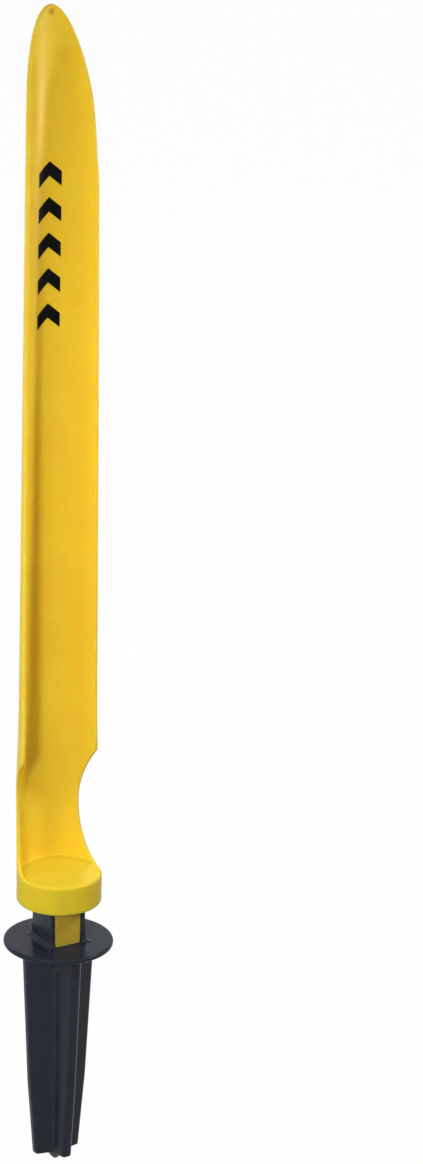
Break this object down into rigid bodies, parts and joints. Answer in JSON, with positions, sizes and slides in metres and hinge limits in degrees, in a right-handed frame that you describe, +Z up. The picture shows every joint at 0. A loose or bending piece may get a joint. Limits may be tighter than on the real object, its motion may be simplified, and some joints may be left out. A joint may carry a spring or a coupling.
{
  "type": "course marker stake",
  "caption": "Flexible half-round marker stake with a waisted foot on a round base, plugged by its square stem into a finned ground spike with a stop flange.",
  "frame": {"origin": "on the stake's axis at ground level, in the plane of the flange's underside", "axes": "+Z up the stake, -Y the blade's hollow side and the socket's open front, +X to the right when facing the hollow side"},
  "size_m": [0.092, 0.092, 0.998],
  "materials": {
    "yellow_plastic": "satin moulded",
    "black_plastic": "glossy moulded"
  },
  "bodies": {
    "spike": {"neck_socket": "black_plastic", "ground_flange": "black_plastic", "ground_spike": "black_plastic"},
    "base": {"stem": "yellow_plastic", "base_disc": "yellow_plastic", "blade_foot": "yellow_plastic", "flex_waist": "yellow_plastic"},
    "blade": {"blade": "yellow_plastic"}
  },
  "joints": [
    {"name": "stem_pull", "type": "slide", "parent": "spike", "child": "base", "axis": [0, 0, 1], "range_m": [0, 0.05]},
    {"name": "waist_bend", "type": "hinge", "parent": "base", "child": "blade", "pos_m": [0, 0.03, 0.1195], "axis": [1, 0, 0], "range_deg": [-80, 80], "stiffness_Nm_per_rad": 3, "deforming": ["flex_waist"]}
  ]
}
